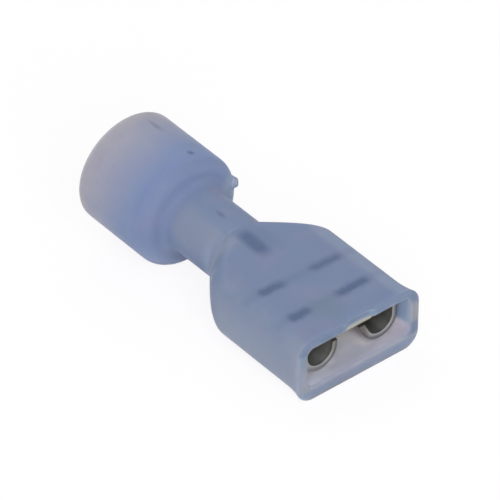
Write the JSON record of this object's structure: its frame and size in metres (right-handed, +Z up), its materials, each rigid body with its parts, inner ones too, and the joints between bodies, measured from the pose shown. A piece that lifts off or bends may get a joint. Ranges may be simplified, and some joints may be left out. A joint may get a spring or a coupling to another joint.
{
  "type": "quick disconnect terminal",
  "caption": "Female quick disconnect: a brass receptacle with rolled sides and a crimp barrel, inside a translucent blue nylon housing with a round bell, a neck and a flared flat mouth.",
  "frame": {"origin": "on the surface that the terminal lies on, under the middle of its length and width", "axes": "+X towards the mouth that takes the tab, +Z up, with the terminal lying nose down as it comes to rest, so that its own axis slopes down 5.63 degrees towards +X"},
  "size_m": [0.0226, 0.0094, 0.0082],
  "materials": {
    "nylon": "satin, translucent",
    "tinned_brass": "bright tin plate"
  },
  "bodies": {
    "root": {"housing": "nylon", "terminal": "tinned_brass"}
  },
  "joints": []
}
